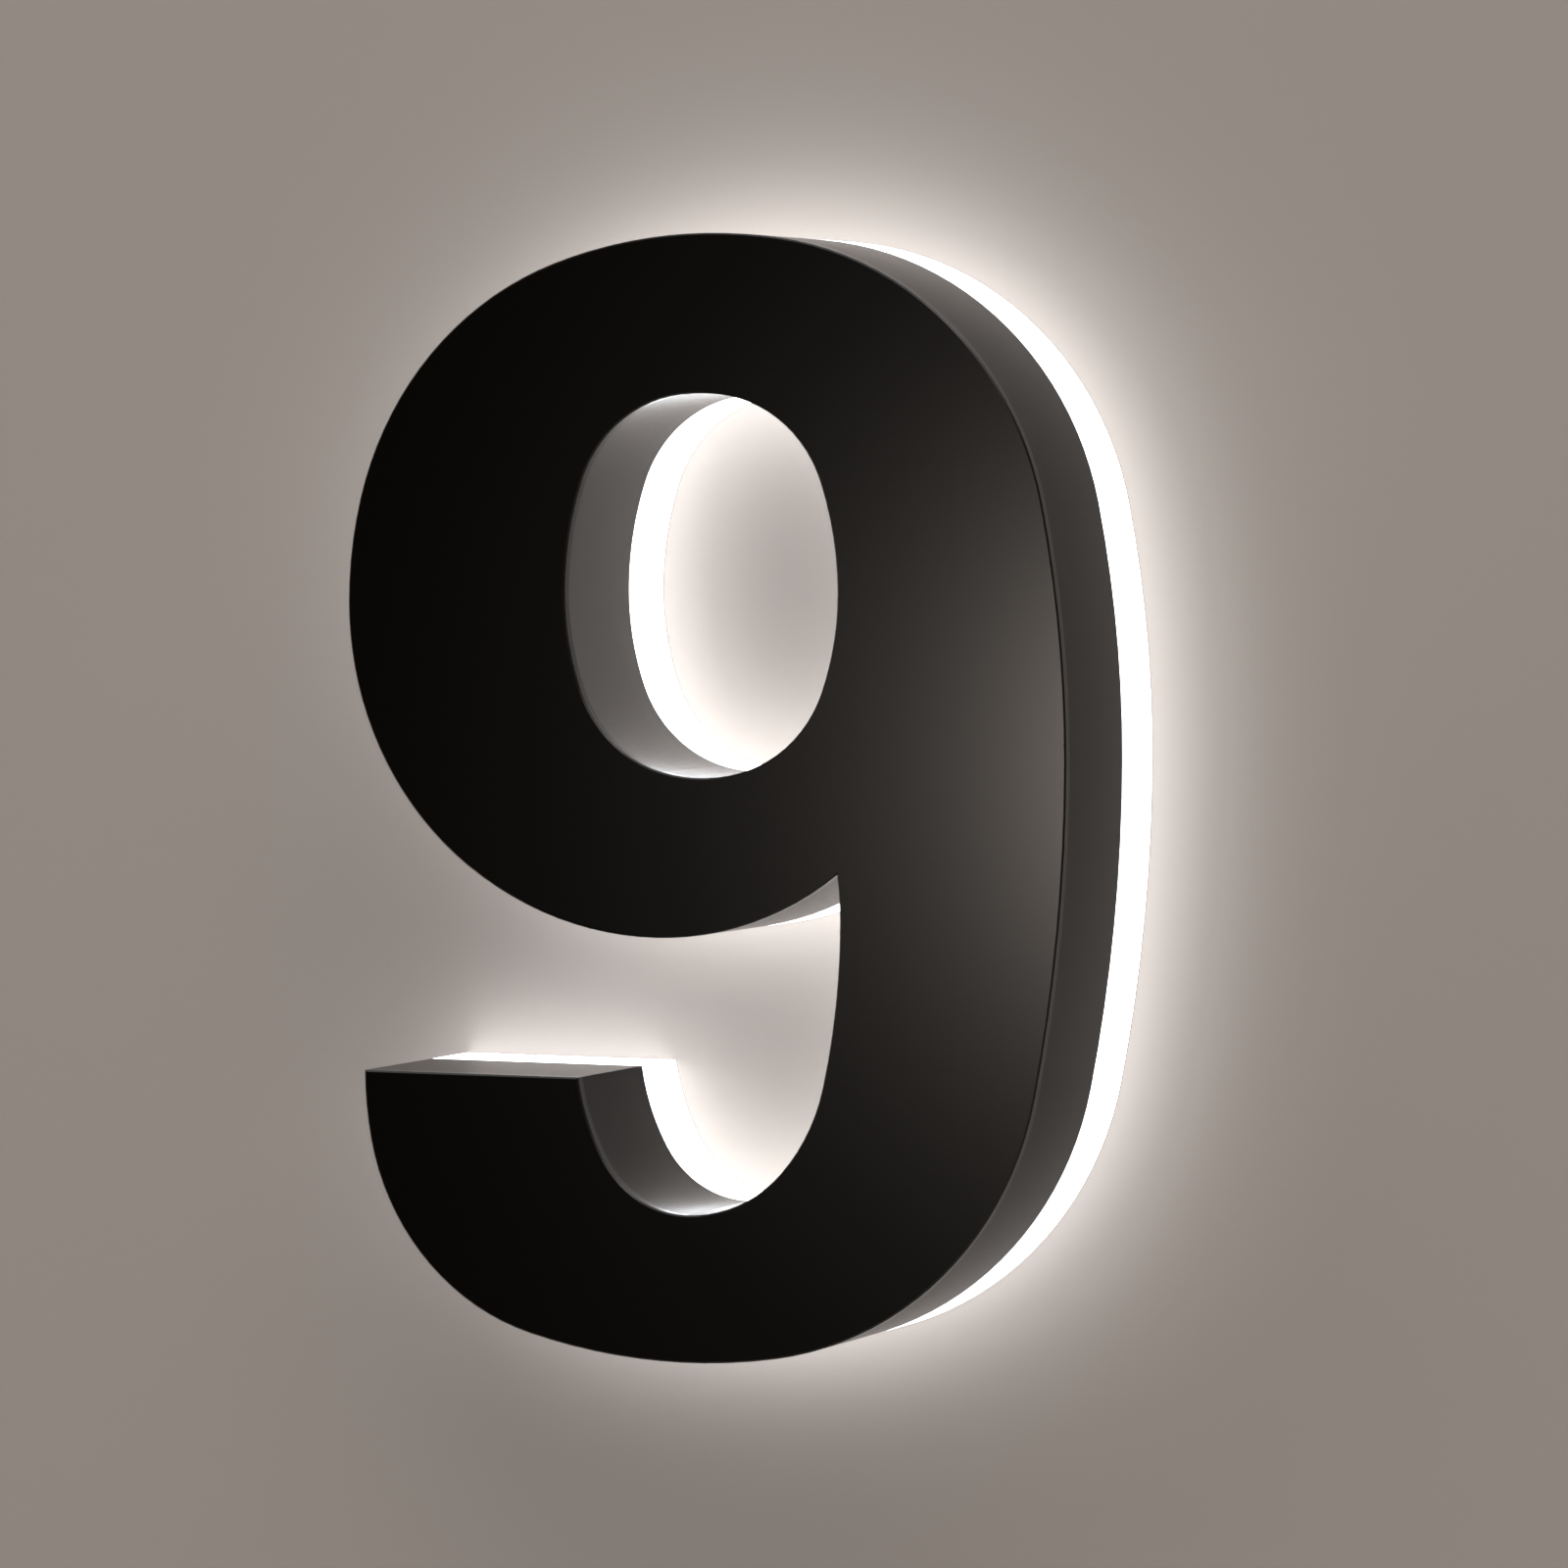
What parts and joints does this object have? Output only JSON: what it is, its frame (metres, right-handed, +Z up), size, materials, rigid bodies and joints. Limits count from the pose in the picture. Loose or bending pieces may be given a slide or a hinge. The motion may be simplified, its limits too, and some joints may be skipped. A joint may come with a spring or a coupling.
{
  "type": "illuminated house number sign",
  "caption": "Wall-hung illuminated house number: a figure nine with a black metal cap over an opal light band that glows round its edge.",
  "frame": {"origin": "on the wall plane, at the middle of the figure's outline", "axes": "+Y into the wall, +Z up the figure, +X to the reader's right; the face looks along -Y"},
  "size_m": [0.1384, 0.043, 0.2],
  "materials": {
    "black_powder_coat": "satin black powder coat on aluminium sheet",
    "opal_acrylic": "opal cast acrylic, satin edges, lit from inside",
    "white_liner": "matt white reflector sheet",
    "bare_aluminium": "mill finish aluminium sheet",
    "stainless_screw": "stainless steel",
    "black_screw": "black coated steel",
    "brass": "turned brass",
    "black_rubber": "moulded rubber",
    "module_housing": "white potted housing",
    "module_lens": "clear to milky lens",
    "lead_sheath": "white twin lead",
    "terminal_plastic": "off-white moulded plastic"
  },
  "bodies": {
    "light_unit": {"back_plate": "bare_aluminium", "cable_grommet": "black_rubber", "counter_cap_seal": "black_rubber", "counter_light_ring": "opal_acrylic", "led_lenses_01": "module_lens", "led_lenses_02": "module_lens", "led_lenses_03": "module_lens", "led_lenses_04": "module_lens", "led_lenses_05": "module_lens", "led_lenses_06": "module_lens", "led_lenses_07": "module_lens", "led_lenses_08": "module_lens", "led_lenses_09": "module_lens", "led_lenses_10": "module_lens", "led_lenses_11": "module_lens", "led_module_01": "module_housing", "led_module_02": "module_housing", "led_module_03": "module_housing", "led_module_04": "module_housing", "led_module_05": "module_housing", "led_module_06": "module_housing", "led_module_07": "module_housing", "led_module_08": "module_housing", "led_module_09": "module_housing", "led_module_10": "module_housing", "led_module_11": "module_housing", "module_leads": "lead_sheath", "outer_cap_seal": "black_rubber", "outer_light_ring": "opal_acrylic", "plate_screws": "stainless_screw", "ring_inserts": "brass", "terminal_block": "terminal_plastic", "terminal_screws": "stainless_screw"},
    "cap": {"face_plate": "black_powder_coat", "outer_return": "black_powder_coat", "counter_return": "black_powder_coat", "cap_set_screws": "black_screw", "face_liner": "white_liner"}
  },
  "joints": [
    {"name": "cap_pull", "type": "slide", "parent": "light_unit", "child": "cap", "axis": [0, -1, 0], "range_m": [0, 0.05]}
  ]
}
